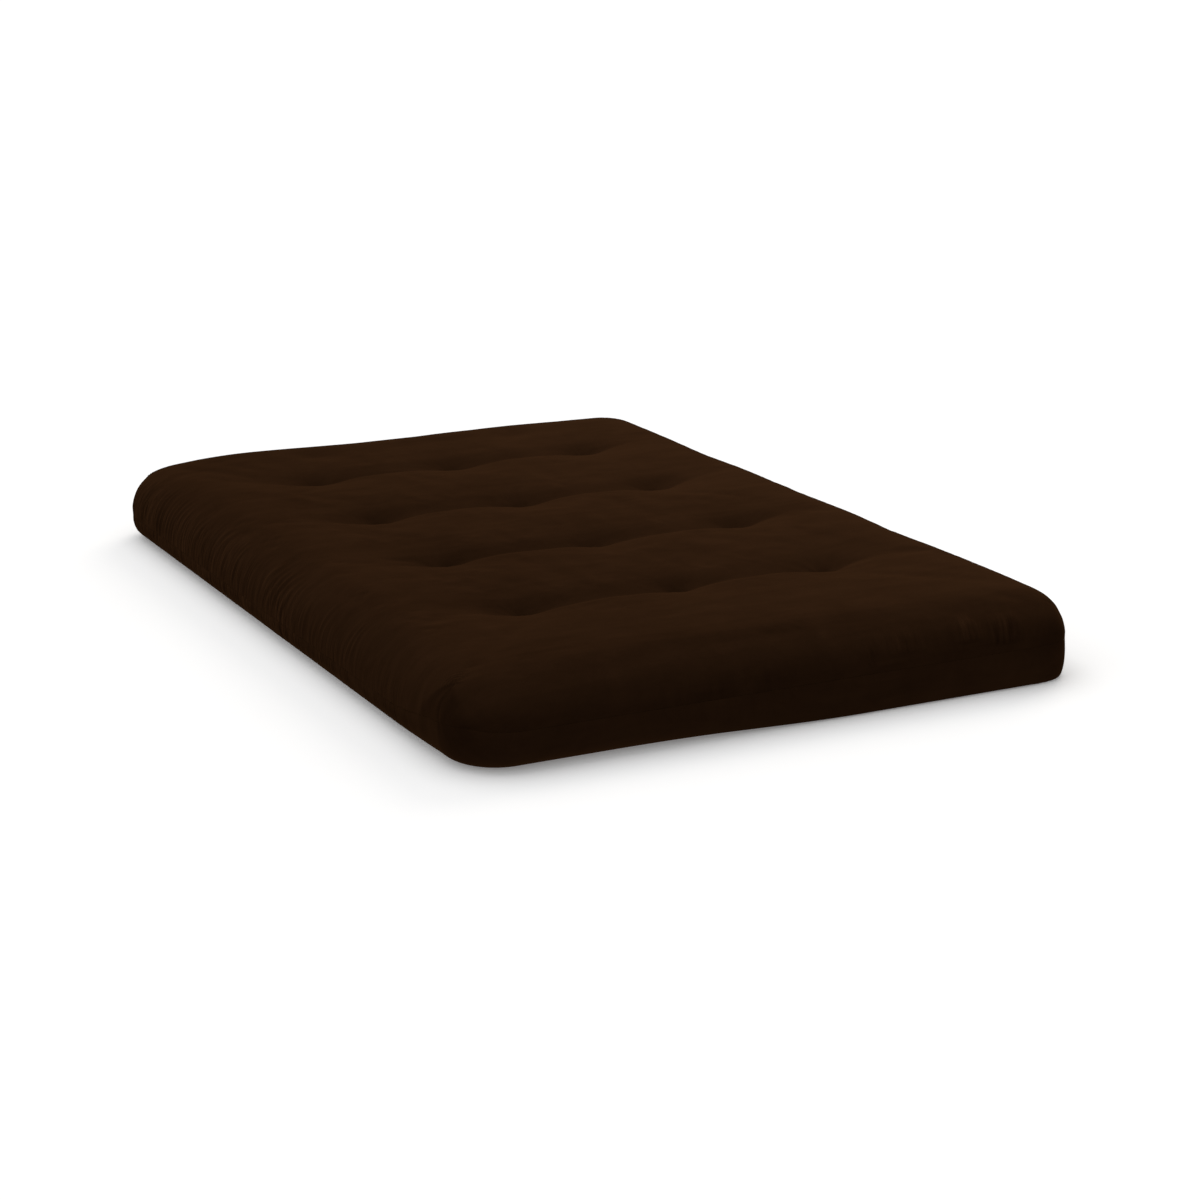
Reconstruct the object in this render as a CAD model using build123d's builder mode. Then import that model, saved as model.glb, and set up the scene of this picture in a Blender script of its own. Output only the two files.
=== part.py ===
"""Full-size tufted futon mattress, lying flat.

Millimetres. +X runs across the mattress, +Y along it, +Z up. The origin is the
centre of the underside. The mattress bends at one line along Y, from a flat bed
to a sofa with a seat and a back, so every ply is cut there into a seat piece and
a back piece that meet across a hairline gap.
"""

import os

from build123d import *

# Outside of the made-up mattress
width = 1300.0
length = 1905.0
thickness = 160.0
corner_radius = 118.0
top_edge_radius = 72.0
bottom_edge_radius = 36.0

# Case: two pans of microfibre sewn together round the middle of the side
case_cloth = 1.2
seam_height = 76.0
seam_gap = 0.2
seam_allowance = 12.0
thread_width = 1.0
thread_height = 0.5
thread_inset = 2.6

# Stuffing plies, from the case inwards
barrier_felt = 4.0
pad_thickness = 24.0
foam_thickness = 60.0
foam_inset = 62.0
ply_clearance = 0.5

# Tufts: three columns across the width, four rows along the length. The columns lean a little
# towards +X as they run along +Y
tuft_columns = 3
tuft_rows = 4
column_spacing = 330.0
row_spacing = 370.0
column_shift = 17.0
column_lean = 0.022
row_shift = 50.0
tuft_depth_top = 36.0
tuft_depth_bottom = 18.0
dimple_radius = 112.0
dimple_floor_radius = 8.0
rim_share = 0.2
twine_radius = 1.5
twine_clearance = 0.25
knot_radius = 5.0
knot_sit = 3.5

# Bend between bed and sofa
seat_depth = 510.0
fold_gap = 1.0

middle = thickness / 2
fold_x = seat_depth - width / 2

# Depth of each nested skin under the outside of the mattress
barrier_outside = case_cloth + ply_clearance
barrier_inside = barrier_outside + barrier_felt
stuffing_outside = barrier_inside + ply_clearance
allowance_edge = case_cloth + seam_allowance

# Height that the seam's allowance and stitches take on each side of the seam plane
allowance_face = seam_gap / 2 + case_cloth
seam_clear = allowance_face + thread_height + ply_clearance

# The side stays upright where the seam is, so neither edge rounds past it
top_rounding = min(top_edge_radius, thickness - seam_height - seam_clear)
bottom_rounding = min(bottom_edge_radius, seam_height - seam_clear)


def tuft_spot(column, row):
    """Place of a tuft in plan, counting columns from -X and rows from +Y."""
    along = ((tuft_rows - 1) / 2 - row) * row_spacing
    across = (column - (tuft_columns - 1) / 2) * column_spacing
    return column_shift + across + column_lean * along, row_shift + along


tuft_spots = {
    (column, row): tuft_spot(column, row) for column in range(tuft_columns) for row in range(tuft_rows)
}
tuft_places = [(x, y, 0) for x, y in tuft_spots.values()]


def dimple(level, dip):
    """Round hollow under a flat ply at level: a flat floor dip lower, rising in an S to the rim."""
    floor = level - dip
    mid_radius = (dimple_floor_radius + dimple_radius) / 2
    with BuildPart() as hollow:
        with BuildSketch(Plane.XZ):
            with BuildLine():
                Line((0, level), (0, floor))
                Line((0, floor), (dimple_floor_radius, floor))
                Bezier(
                    (dimple_floor_radius, floor),
                    (mid_radius, floor),
                    (mid_radius, level - rim_share * dip),
                    (dimple_radius, level),
                )
                Line((dimple_radius, level), (0, level))
            make_face()
        revolve(axis=Axis.Z)
    return hollow.part


def squeezed(level):
    """How far the ply face at this height is drawn towards the middle at a tuft.

    It grows from nothing at the middle to the full tuft depth at the outside of the stuffing, so
    every ply keeps its share of the squeezed height.
    """
    share = (level - middle) / (middle - stuffing_outside)
    return share * (tuft_depth_top if share > 0 else tuft_depth_bottom)


def mattress_form(inset):
    """Solid outside of the mattress, taken in by inset, with its tuft dimples above and below."""
    top, bottom = thickness - inset, inset
    above, below = dimple(top, tuft_depth_top), dimple(bottom, -tuft_depth_bottom)
    with BuildPart() as form:
        with BuildSketch(Plane.XY.offset(bottom)):
            RectangleRounded(width - 2 * inset, length - 2 * inset, corner_radius - inset)
        extrude(amount=top - bottom)
        fillet(form.edges().group_by(Axis.Z)[-1], top_rounding - inset)
        fillet(form.edges().group_by(Axis.Z)[0], bottom_rounding - inset)
        with Locations(*tuft_places):
            add(above, mode=Mode.SUBTRACT)
            add(below, mode=Mode.SUBTRACT)
    return form.part


def block(low, high):
    """Plain block between two heights, well wider than the mattress."""
    with BuildPart() as slab:
        with BuildSketch(Plane.XY.offset(low)):
            Rectangle(2 * width, 2 * length)
        extrude(amount=high - low)
    return slab.part


def plan_form(inset):
    """Upright solid of the mattress's rounded plan, taken in by inset, through its full height."""
    with BuildPart() as form:
        with BuildSketch():
            RectangleRounded(width - 2 * inset, length - 2 * inset, corner_radius - inset)
        extrude(amount=thickness)
    return form.part


def space_over(level):
    """Everything above a ply face in the upper half, which dips at each tuft."""
    plug = dimple(level, squeezed(level))
    with BuildPart() as space:
        add(block(level, 2 * thickness))
        with Locations(*tuft_places):
            add(plug)
    return space.part


def space_under(level):
    """Everything below a ply face in the lower half, which rises at each tuft."""
    plug = dimple(level, squeezed(level))
    with BuildPart() as space:
        add(block(-thickness, level))
        with Locations(*tuft_places):
            add(plug)
    return space.part


def side_ring(outer_inset, inner_inset, low, high):
    """Flat ring that follows the side of the mattress."""
    with BuildPart() as ring:
        with BuildSketch(Plane.XY.offset(low)):
            for inset, mode in ((outer_inset, Mode.ADD), (inner_inset, Mode.SUBTRACT)):
                RectangleRounded(
                    width - 2 * inset, length - 2 * inset, corner_radius - inset, mode=mode
                )
        extrude(amount=high - low)
    return ring.part


def twine_holes():
    """Rods that clear the twine's way through every ply."""
    with BuildPart() as holes:
        with BuildSketch():
            with Locations(*tuft_spots.values()):
                Circle(twine_radius + twine_clearance)
        extrude(amount=thickness)
    return holes.part


def case_pans():
    """Top and bottom pans of cloth, each with its seam allowance turned in along the seam."""
    outer, inner = mattress_form(0), mattress_form(case_cloth)
    pans = []
    for side in (1, -1):
        face, turned = seam_height + side * seam_gap / 2, seam_height + side * allowance_face
        far = seam_height + side * 2 * thickness
        with BuildPart() as pan:
            add(outer)
            add(inner, mode=Mode.SUBTRACT)
            add(block(*sorted((face, far))), mode=Mode.INTERSECT)
            add(side_ring(0, allowance_edge, *sorted((face, turned))))
            add(twine_holes(), mode=Mode.SUBTRACT)
        pans.append(pan.part)
    return pans


def seam_threads():
    """Needle and bobbin threads, one on each side of the two turned-in allowances."""
    with BuildPart() as threads:
        for side in (1, -1):
            near = seam_height + side * allowance_face
            far = near + side * thread_height
            add(side_ring(thread_inset, thread_inset + thread_width, *sorted((near, far))))
    return threads.part


def barrier_halves():
    """Felt fire barrier inside each pan, stopping short of the seam allowances."""
    outer, inner = mattress_form(barrier_outside), mattress_form(barrier_inside)
    halves = []
    for side in (1, -1):
        near, far = seam_height + side * seam_clear, seam_height + side * 2 * thickness
        with BuildPart() as half:
            add(outer)
            add(inner, mode=Mode.SUBTRACT)
            add(block(*sorted((near, far))), mode=Mode.INTERSECT)
            add(twine_holes(), mode=Mode.SUBTRACT)
        halves.append(half.part)
    return halves


def stuffing_plies():
    """Cotton, polyester pad, foam core, edge roll, pad and cotton, pressed together at each tuft."""
    form = mattress_form(stuffing_outside)
    core_top, core_bottom = middle + foam_thickness / 2, middle - foam_thickness / 2
    pad_over, pad_under = core_top + ply_clearance, core_bottom - ply_clearance
    cotton_over = pad_over + pad_thickness + ply_clearance
    cotton_under = pad_under - pad_thickness - ply_clearance
    seam_groove = side_ring(
        0, allowance_edge + ply_clearance, seam_height - seam_clear, seam_height + seam_clear
    )
    core_edge, roll_edge = plan_form(foam_inset), plan_form(foam_inset - ply_clearance)

    # For each ply: what it stays within, then what is taken away from it
    stack = {
        "cotton_top": ([space_over(cotton_over)], []),
        "pad_top": ([space_over(pad_over)], [space_over(pad_over + pad_thickness)]),
        "foam_core": ([core_edge], [space_over(core_top), space_under(core_bottom)]),
        "edge_roll": ([], [space_over(core_top), space_under(core_bottom), roll_edge, seam_groove]),
        "pad_bottom": ([space_under(pad_under)], [space_under(pad_under - pad_thickness)]),
        "cotton_bottom": ([space_under(cotton_under)], []),
    }
    plies = {}
    for name, (kept_within, taken_away) in stack.items():
        with BuildPart() as ply:
            add(form)
            for space in kept_within:
                add(space, mode=Mode.INTERSECT)
            for space in [*taken_away, twine_holes()]:
                add(space, mode=Mode.SUBTRACT)
        plies[name] = ply.part
    return plies


def cut_at_fold(whole):
    """Seat piece and back piece of a ply, with the fold gap between them."""
    halves = []
    for side in (-1, 1):
        with BuildPart() as half:
            add(whole)
            with Locations((fold_x + side * (fold_gap / 2 + width), 0, middle)):
                Box(2 * width, 2 * length, 2 * thickness, mode=Mode.INTERSECT)
        halves.append(half.part)
    return halves


def twine(x, y):
    """Tufting twine from the lower dimple's floor to the upper one's."""
    with BuildPart() as strand:
        with BuildSketch(Plane.XY.offset(tuft_depth_bottom)):
            with Locations((x, y)):
                Circle(twine_radius)
        extrude(amount=thickness - tuft_depth_top - tuft_depth_bottom)
    return strand.part


def knots(wanted, floor, side):
    """Ball knots that sit on the dimple floors, flattened where they touch the cloth."""
    with BuildPart() as balls:
        with Locations(*[(x, y, floor + side * knot_sit) for x, y in wanted]):
            Sphere(knot_radius)
        add(block(*sorted((floor, floor + side * thickness))), mode=Mode.INTERSECT)
    return balls.part


def save(piece, name):
    piece.label = name
    export_step(piece, os.path.join("parts", name + ".step"))


os.makedirs("parts", exist_ok=True)

case_top, case_bottom = case_pans()
barrier_top, barrier_bottom = barrier_halves()
plies = {
    "case_top": case_top,
    "case_bottom": case_bottom,
    "case_seam": seam_threads(),
    "barrier_top": barrier_top,
    "barrier_bottom": barrier_bottom,
    **stuffing_plies(),
}
for name, whole in plies.items():
    seat_piece, back_piece = cut_at_fold(whole)
    save(seat_piece, "seat_" + name)
    save(back_piece, "back_" + name)

for (column, row), (x, y) in tuft_spots.items():
    save(twine(x, y), f"tuft_twine_c{column + 1}_r{row + 1}")

for section, side in (("seat", -1), ("back", 1)):
    own_spots = [(x, y) for x, y in tuft_spots.values() if (x - fold_x) * side > 0]
    save(knots(own_spots, thickness - tuft_depth_top, 1), section + "_upper_knots")
    save(knots(own_spots, tuft_depth_bottom, -1), section + "_lower_knots")
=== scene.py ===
import math

import bpy
import numpy as np
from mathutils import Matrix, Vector


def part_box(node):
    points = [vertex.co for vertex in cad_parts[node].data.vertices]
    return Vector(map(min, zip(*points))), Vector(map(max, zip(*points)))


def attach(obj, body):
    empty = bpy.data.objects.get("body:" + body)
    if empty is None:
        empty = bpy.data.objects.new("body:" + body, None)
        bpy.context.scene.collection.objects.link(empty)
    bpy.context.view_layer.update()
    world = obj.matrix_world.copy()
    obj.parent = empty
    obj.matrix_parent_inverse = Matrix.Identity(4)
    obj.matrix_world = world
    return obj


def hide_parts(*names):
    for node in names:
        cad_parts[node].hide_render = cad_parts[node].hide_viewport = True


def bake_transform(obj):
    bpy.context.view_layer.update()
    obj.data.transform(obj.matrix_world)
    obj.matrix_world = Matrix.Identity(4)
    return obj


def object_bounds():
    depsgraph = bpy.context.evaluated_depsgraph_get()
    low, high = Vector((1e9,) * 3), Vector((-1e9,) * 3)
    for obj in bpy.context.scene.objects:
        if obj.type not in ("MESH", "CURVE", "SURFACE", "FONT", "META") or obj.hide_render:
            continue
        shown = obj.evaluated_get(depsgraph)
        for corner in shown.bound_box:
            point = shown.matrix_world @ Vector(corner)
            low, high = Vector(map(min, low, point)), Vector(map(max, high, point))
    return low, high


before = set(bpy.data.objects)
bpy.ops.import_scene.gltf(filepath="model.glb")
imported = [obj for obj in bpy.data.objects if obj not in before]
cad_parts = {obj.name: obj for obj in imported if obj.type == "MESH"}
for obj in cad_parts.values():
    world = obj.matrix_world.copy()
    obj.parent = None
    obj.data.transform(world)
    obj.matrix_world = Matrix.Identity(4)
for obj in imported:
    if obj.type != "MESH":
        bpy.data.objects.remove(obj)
cadLow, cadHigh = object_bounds()

# Sizes read off the frame, in metres
halfWidth = (cadHigh.x - cadLow.x) / 2
halfLength = (cadHigh.y - cadLow.y) / 2
fullHeight = cadHigh.z
seamHeight = (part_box("seat_case_top")[0].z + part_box("seat_case_bottom")[1].z) / 2
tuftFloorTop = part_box("seat_upper_knots")[0].z
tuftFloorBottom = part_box("seat_lower_knots")[1].z

tuftRows = 4
tufts = []  # places of the tufts in plan, column by column
for column in (1, 2, 3):
    for row in range(1, tuftRows + 1):
        low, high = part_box(f"tuft_twine_c{column}_r{row}")
        tufts.append(((low.x + high.x) / 2, (low.y + high.y) / 2))
tufts = np.array(tufts)
print("frame read:", len(tufts), "tufts, seam at", round(seamHeight, 4))

casePans = {
    "cornerRadius": 0.118,
    "cloth": 0.0012,
    "topAcross": 0.104,      # how far in the top edge starts to round off
    "topPower": 2.15,        # superellipse power of that rounding, 2 is an ellipse
    "softAcross": 0.050,     # the same for the bottom edge, where it is soft and where it is crisp
    "crispAcross": 0.008,
    "bottomPower": 2.3,
    "crispPower": 3.0,
    "crispFrom": -0.35,      # the bottom edge turns crisp from here towards the right, over crispOver
    "crispOver": 0.5,
    "crispFade": 0.6,        # and is this much less so at the far end
    "squarePower": 3.2,      # plan of the near right corner low down, against 2 for a round one
    "cornerIn": 0.018,       # how far the right side is drawn in low down at that corner
    "seamSag": 0.023,        # how far the seam hangs lower along the left side
    "seamRide": 0.004,       # how far it rides up at the near left corner
    "sideBulge": 0.0025,     # how far the side stands proud of the seam
    "allowance": 0.0135,     # cloth turned in along the seam
    "seamGap": 0.0001,
    "innerLift": 1.6,        # cloth thicknesses from the seam up to the border of the inner face
    "floorTouch": 0.004,     # the underside counts as flat below this height
    "topSpacing": 0.0085,    # mesh spacing on the broad top
    "middleSpacing": 0.0065,
    "tuftSpacing": 0.0035,   # and nearer than tuftDense to a tuft
    "tuftDense": 0.050,
    "edgeSpacing": 0.0042,   # over the side, and along the seam at the finest
    "seamSpacing": 0.0016,
    "alongSpacing": 0.0048,
    "fill": 0.75,
}

tuftShape = {
    "pinchDepth": 0.0175,    # sharp part of a tuft's dimple
    "pinchReach": 0.032,
    "broadDepth": 0.0070,    # the broad hollow round it
    "broadReach": 0.085,
    "creaseDepth": 0.0115,   # crease along a row, with shoulders as wide as creaseReach
    "creaseReach": 0.031,
    "creaseSoft": 0.0050,
    "farEase": 0.58,         # the far bank of a crease is this much gentler
    "creaseRunOut": 0.17,    # how far a row's crease runs on past its last tuft
    "swellDepth": 0.0020,    # slow fall of the pillows towards a row
    "swellReach": 0.10,
    "underReach": 0.034,
    "creaseWander": 0.006,   # how far a crease strays from the line of its tufts
    "valley": 0.002,         # rounding at the bottom of a cusp or crease
    "underValley": 0.003,
}

# Slow swells and hollows of the top: place, reach across and along, height
crownSwells = [
    (-0.38, 0.92, 0.16, 0.12, 0.0085), (0.30, 0.95, 0.16, 0.10, 0.0045),
    (0.05, 0.95, 0.08, 0.09, -0.0015), (0.60, 0.45, 0.10, 0.38, -0.0045),
    (-0.62, 0.88, 0.11, 0.13, -0.0110), (0.62, -0.72, 0.12, 0.13, 0.0035),
    (-0.60, 0.10, 0.09, 0.20, -0.0020), (-0.226, 0.79, 0.05, 0.035, -0.0060),
    (0.26, 0.79, 0.05, 0.035, -0.0060),
]

# Gathers over the side: which side, where along it, reach, height, width of one fold, lean
gatherZones = [
    ("left", 0.70, 0.20, 0.0024, 0.0210, 0.15), ("left", 0.30, 0.16, 0.0026, 0.0230, 0.20),
    ("left", -0.02, 0.14, 0.0028, 0.0230, 0.15), ("left", -0.36, 0.16, 0.0020, 0.0300, 0.25),
    ("left", -0.68, 0.12, 0.0012, 0.0400, 0.10),
    ("near", 0.165, 0.012, 0.0030, 0.0240, -0.10), ("near", -0.20, 0.22, 0.0006, 0.0300, 0.10),
    ("near", 0.42, 0.12, 0.0010, 0.0240, 0.05),
    ("right", 0.62, 0.20, 0.0024, 0.0210, -0.20), ("right", 0.10, 0.24, 0.0022, 0.0240, 0.25),
    ("right", -0.48, 0.18, 0.0016, 0.0280, -0.20),
    ("far", -0.38, 0.14, 0.0020, 0.0220, 0.25), ("far", 0.08, 0.20, 0.0016, 0.0260, -0.20),
    ("far", 0.42, 0.08, 0.0020, 0.0220, 0.20),
]

# Fine strands of gathered cloth: which side, where along it, reach, strength, and how far up the cloth
# they start and stop
strandZones = [
    ("left", 0.78, 0.17, 1.0, 0.0, 0.085), ("left", 0.46, 0.15, 1.0, 0.0, 0.075),
    ("left", 0.20, 0.12, 0.85, 0.0, 0.070), ("left", -0.08, 0.13, 0.9, 0.0, 0.065),
    ("left", -0.36, 0.12, 0.45, 0.0, 0.055), ("left", -0.62, 0.10, 0.30, 0.0, 0.050),
    ("near", 0.165, 0.010, 0.6, 0.010, 0.070), ("near", 0.235, 0.045, 0.50, 0.022, 0.085),
    ("near", 0.385, 0.028, 0.75, 0.025, 0.095), ("near", 0.465, 0.035, 0.85, 0.012, 0.085),
    ("near", -0.15, 0.16, 0.15, 0.0, 0.040),
    ("right", 0.55, 0.25, 0.8, 0.0, 0.070), ("right", -0.10, 0.22, 0.7, 0.0, 0.065),
    ("far", -0.30, 0.20, 0.7, 0.0, 0.065), ("far", 0.35, 0.14, 0.7, 0.0, 0.065),
]

cornerDart = {
    "climb": 0.078,          # how far up the cloth from the seam the dart's point is
    "turn": 0.11,            # angle from the left side round to the near left corner's dart
    "radiusShare": 0.85,     # mean radius of the way round, as a share of the corner's
    "elsewhere": 0.5,        # strength of the darts in the other three corners
    "pointHeight": 0.0042,
    "pointReach": 0.011,
    "folds": 6,
    "foldHeight": 0.0012,
    "foldReach": 0.022,
    "ripple": 0.0075,        # from one ripple to the next
    "rippleHeight": 0.0022,
    "rippleReach": 0.018,
    "pit": 0.0055,
    "pitReach": 0.0055,
    "groove": 0.0007,
    "grooveWidth": 0.0030,
    "facet": 0.0026,
    "facetReach": 0.085,
    "placeX": -0.619,        # the point on the flat cloth, where the mesh is dense
    "placeY": -0.844,
    "dense": 0.024,
    "denseSpacing": 0.0019,
}


def smoothStep(t):
    t = np.clip(t, 0, 1)
    return t * t * (3 - 2 * t)


def softPlus(t):
    # ln(1 + e^t), a ramp with a rounded foot
    return np.logaddexp(0, t)


def hill(*shares):
    # exp(-a^2 - b^2), a round hill of height 1, from the distance along each way as a share of its reach
    return np.exp(-sum(share ** 2 for share in shares))


def squeezed(u, v):
    # a square corner of cloth squeezed into a quarter disc, u' = u sqrt(1 - v^2/2), v' = v sqrt(1 - u^2/2)
    return u * np.sqrt(1 - v * v / 2), v * np.sqrt(1 - u * u / 2)


def latticeNoise(u, v, seed):
    # value noise from 0 to 1: a seeded table of random heights, blended between its four nearest entries
    table = np.random.RandomState(seed).rand(256, 256)
    iu, iv = np.floor(u).astype(int), np.floor(v).astype(int)
    fu, fv = smoothStep(u - iu), smoothStep(v - iv)
    a, b = table[iu % 256, iv % 256], table[(iu + 1) % 256, iv % 256]
    c, d = table[iu % 256, (iv + 1) % 256], table[(iu + 1) % 256, (iv + 1) % 256]
    return (a * (1 - fu) + b * fu) * (1 - fv) + (c * (1 - fu) + d * fu) * fv


def layeredNoise(u, v, seed, layers=3):
    # layers of latticeNoise, each twice as fine and half as strong, brought back to run from -1 to 1
    total = sum(latticeNoise(u * 2 ** k, v * 2 ** k, seed + k) / 2 ** k for k in range(layers))
    return total / (1 - 0.5 ** layers) - 1


def roundedEdge(across, up, power, bulge, count=900):
    # quarter superellipse from the seam to the flat: inset = across (1 - cos^(2/p)), rise = up sin^(2/p),
    # drawn in by bulge at its two ends, and returned against its own arc length
    angle = np.linspace(0, np.pi / 2, count)
    inset = across * (1 - np.cos(angle).clip(0) ** (2 / power))
    rise = up * np.sin(angle) ** (2 / power)
    inset = inset + bulge * (1 - np.sin(np.pi * np.clip(rise / up, 0, 1)) ** 0.7)
    run = np.concatenate([[0], np.cumsum(np.hypot(np.diff(inset), np.diff(rise)))])
    return run, inset, rise


def edgeTables(across, up, power):
    # radius left and height climbed against the share of the way in, from the seam to the corner's centre
    p = casePans
    run, inset, rise = roundedEdge(across, up, power, p["sideBulge"])
    reach = run[-1] + p["cornerRadius"] - inset[-1]
    share = np.linspace(0, 1, 1200)
    way = share * reach
    radius = np.where(way > run[-1], reach - way, p["cornerRadius"] - np.interp(way, run, inset))
    return share, radius, np.interp(way, run, rise), reach


def edgeShape(side):
    # the rounding of the case's smooth outside above or below the seam: across, up, power
    p = casePans
    if side > 0:
        return p["topAcross"], fullHeight - seamHeight, p["topPower"]
    return p["softAcross"], seamHeight, p["bottomPower"]


topEdge = edgeTables(*edgeShape(1))
softEdge = edgeTables(*edgeShape(-1))
crispEdge = edgeTables(casePans["crispAcross"], seamHeight, casePans["crispPower"])
clothReach = {1: topEdge[3], -1: softEdge[3]}  # cloth from the start of the corner out to the seam


def tuftField(x, y):
    # depth of the quilting under the crown: each tuft is a cusp exp(-r/reach) in a broad hollow
    # exp(-(r/reach)^2), and each row has a V crease with round shoulders, softPlus((w - d)/k) k/w,
    # and a slow swell exp(-(d/reach)^2) beside it
    t = tuftShape
    depth = np.zeros_like(x)
    for tx, ty in tufts:
        r = np.sqrt((x - tx) ** 2 + (y - ty) ** 2 + t["valley"] ** 2) - t["valley"]
        pinch = t["pinchDepth"] * np.exp(-r / t["pinchReach"])
        depth += pinch + t["broadDepth"] * hill(r / t["broadReach"])
    rows = tufts.reshape(-1, tuftRows, 2)
    for row in range(tuftRows):
        xs, ys = rows[:, row, 0], rows[:, row, 1]
        line = np.interp(x, xs, ys) + t["creaseWander"] * layeredNoise(x / 0.11, x * 0 + row, 31, 2)
        past = np.maximum(0, np.maximum(xs[0] - x, x - xs[-1]))
        fade = 1 - smoothStep(past / t["creaseRunOut"])
        beside = (y - line) * np.where(y > line, t["farEase"], 1)
        away = np.sqrt(beside ** 2 + t["valley"] ** 2) - t["valley"]
        shoulder = softPlus((t["creaseReach"] - away) / t["creaseSoft"])
        shoulder = shoulder * t["creaseSoft"] / t["creaseReach"]
        depth += t["creaseDepth"] * fade * shoulder
        depth += t["swellDepth"] * fade * hill(away / t["swellReach"])
    return depth


def underField(x, y):
    # the tufts' hollows in the underside, cusps exp(-r/reach)
    depth, valley = np.zeros_like(x), tuftShape["underValley"]
    for tx, ty in tufts:
        r = np.sqrt((x - tx) ** 2 + (y - ty) ** 2 + valley ** 2) - valley
        depth += tuftFloorBottom * np.exp(-r / tuftShape["underReach"])
    return depth


def crownField(x, y):
    # slow swells, each a Gaussian hill, over a low rolling noise
    height = 0.0022 * layeredNoise(x / 0.21 + 3, y / 0.24 + 5, 11, 3)
    for cx, cy, rx, ry, rise in crownSwells:
        height += rise * hill((x - cx) / rx, (y - cy) / ry)
    return height


def seamLevel(x, y):
    # height of the seam at a place on the border: it sags along the left side and rides up at the
    # near left corner
    left = smoothStep((-x - halfWidth + 0.06) / 0.055) * smoothStep((y + halfLength - 0.10) / 0.22)
    rideUp = hill((x + halfWidth - 0.02) / 0.06, (y + halfLength - 0.04) / 0.07)
    return seamHeight - casePans["seamSag"] * left + casePans["seamRide"] * rideUp


def squaredOff(across, along, x, y):
    # how much further out the near right corner stands than a round one, in the direction (across, along):
    # the radius of a superellipse, (|a|^p + |b|^p)^(-1/p)
    p = casePans["squarePower"]
    further = (np.abs(across) ** p + np.abs(along) ** p) ** (-1 / p) - 1
    return np.where((x > 0) & (y < 0), further, 0)


def drawnIn(x, y, z):
    # how far the right side stands in, low down towards the near corner
    low = 1 - smoothStep((z - seamHeight) / (fullHeight - seamHeight))
    return casePans["cornerIn"] * low * smoothStep((x - 0.25) / 0.35) * smoothStep((-y - 0.55) / 0.35)


def panSurface(gx, gy, side):
    # flat cloth coordinates to the sewn pan, and how far each is from the seam: straight strips roll over
    # the edge tables, and each square corner of cloth is squeezed into a quarter disc
    p = casePans
    r0 = p["cornerRadius"]
    x0, y0, reach = halfWidth - r0, halfLength - r0, clothReach[side]
    u = np.clip((np.abs(gx) - x0) / reach, 0, 1)
    v = np.clip((np.abs(gy) - y0) / reach, 0, 1)
    du, dv = squeezed(u, v)
    out = np.clip(np.hypot(du, dv), 0, 1)
    if side > 0:
        radius, lift = (np.interp(1 - out, topEdge[0], topEdge[k]) for k in (1, 2))
    else:
        crisp = smoothStep((gx - p["crispFrom"]) / p["crispOver"])
        crisp = crisp * (1 - p["crispFade"] * smoothStep((gy - 0.2) / 0.6))
        radius, lift = (
            np.interp(1 - out, softEdge[0], softEdge[k]) * (1 - crisp)
            + np.interp(1 - out, crispEdge[0], crispEdge[k]) * crisp
            for k in (1, 2)
        )
    safe = np.maximum(out, 1e-9)
    towardX, towardY = du / safe, np.where(out > 0, dv / safe, 1)

    def placed(radius):
        x = np.sign(gx) * (np.minimum(np.abs(gx), x0) + radius * towardX)
        return x, np.sign(gy) * (np.minimum(np.abs(gy), y0) + radius * towardY * (out > 0))

    level = lift / edgeShape(side)[1]
    low = 1 - smoothStep(level) if side > 0 else 1
    x, y = placed(radius * (1 + low * squaredOff(towardX, towardY, gx, gy)))
    seam = seamLevel(*placed(r0))
    if side > 0:
        z = seam + level * (fullHeight - seam)
        z = z - tuftField(x, y) * smoothStep((level - 0.55) / 0.45) + crownField(x, y) * level ** 2
    else:
        z = np.maximum(seam * (1 - level), 0)
        z = z + underField(x, y) * (z < p["floorTouch"])
    x = x - drawnIn(x, y, seamHeight + side * lift)
    return np.stack([x, y, z], -1), (1 - out) * reach


def gridNormals(points, side):
    # unit normals from the two directions of the grid, turned to point out of the pan
    normal = np.cross(np.gradient(points, axis=0), np.gradient(points, axis=1)) * side
    return normal / np.maximum(np.linalg.norm(normal, axis=-1, keepdims=True), 1e-12)


def gridLine(half, side, centres, spacing, dart):
    # lines of cloth across one direction, closer together at the tufts, over the side, at the seam and
    # at the near left corner's dart
    p = casePans
    fine = np.linspace(-half, half, 9000)
    step = np.full_like(fine, min(p["topSpacing"], spacing))
    for c in centres:
        near = 1 - smoothStep((np.abs(fine - c) - p["tuftDense"]) / 0.05)
        step = step + (p["tuftSpacing"] - step) * near * (side > 0)
    step = step + (p["edgeSpacing"] - step) * (1 - smoothStep((half - np.abs(fine) - 0.17) / 0.05))
    step = step + (p["seamSpacing"] - step) * (1 - smoothStep((half - np.abs(fine) - 0.010) / 0.012))
    near = 1 - smoothStep((np.abs(fine - dart) - cornerDart["dense"]) / 0.012)
    step = step + (np.minimum(cornerDart["denseSpacing"], step) - step) * near * (side > 0)
    count = np.concatenate([[0], np.cumsum(np.diff(fine) * (1 / step[1:] + 1 / step[:-1]) / 2)])
    total = 3 * int(round(count[-1] / 3))
    return np.interp(np.linspace(0, count[-1], total + 1), count, fine)


def gridQuads(index, flip):
    quads = np.stack([index[:-1, :-1], index[1:, :-1], index[1:, 1:], index[:-1, 1:]], -1).reshape(-1, 4)
    return quads[:, ::-1] if flip else quads


def borderLoop(index):
    # the border of a grid of point numbers, once round
    return np.concatenate([index[:-1, 0], index[-1, :-1], index[:0:-1, -1], index[0, :0:-1]])


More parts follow.
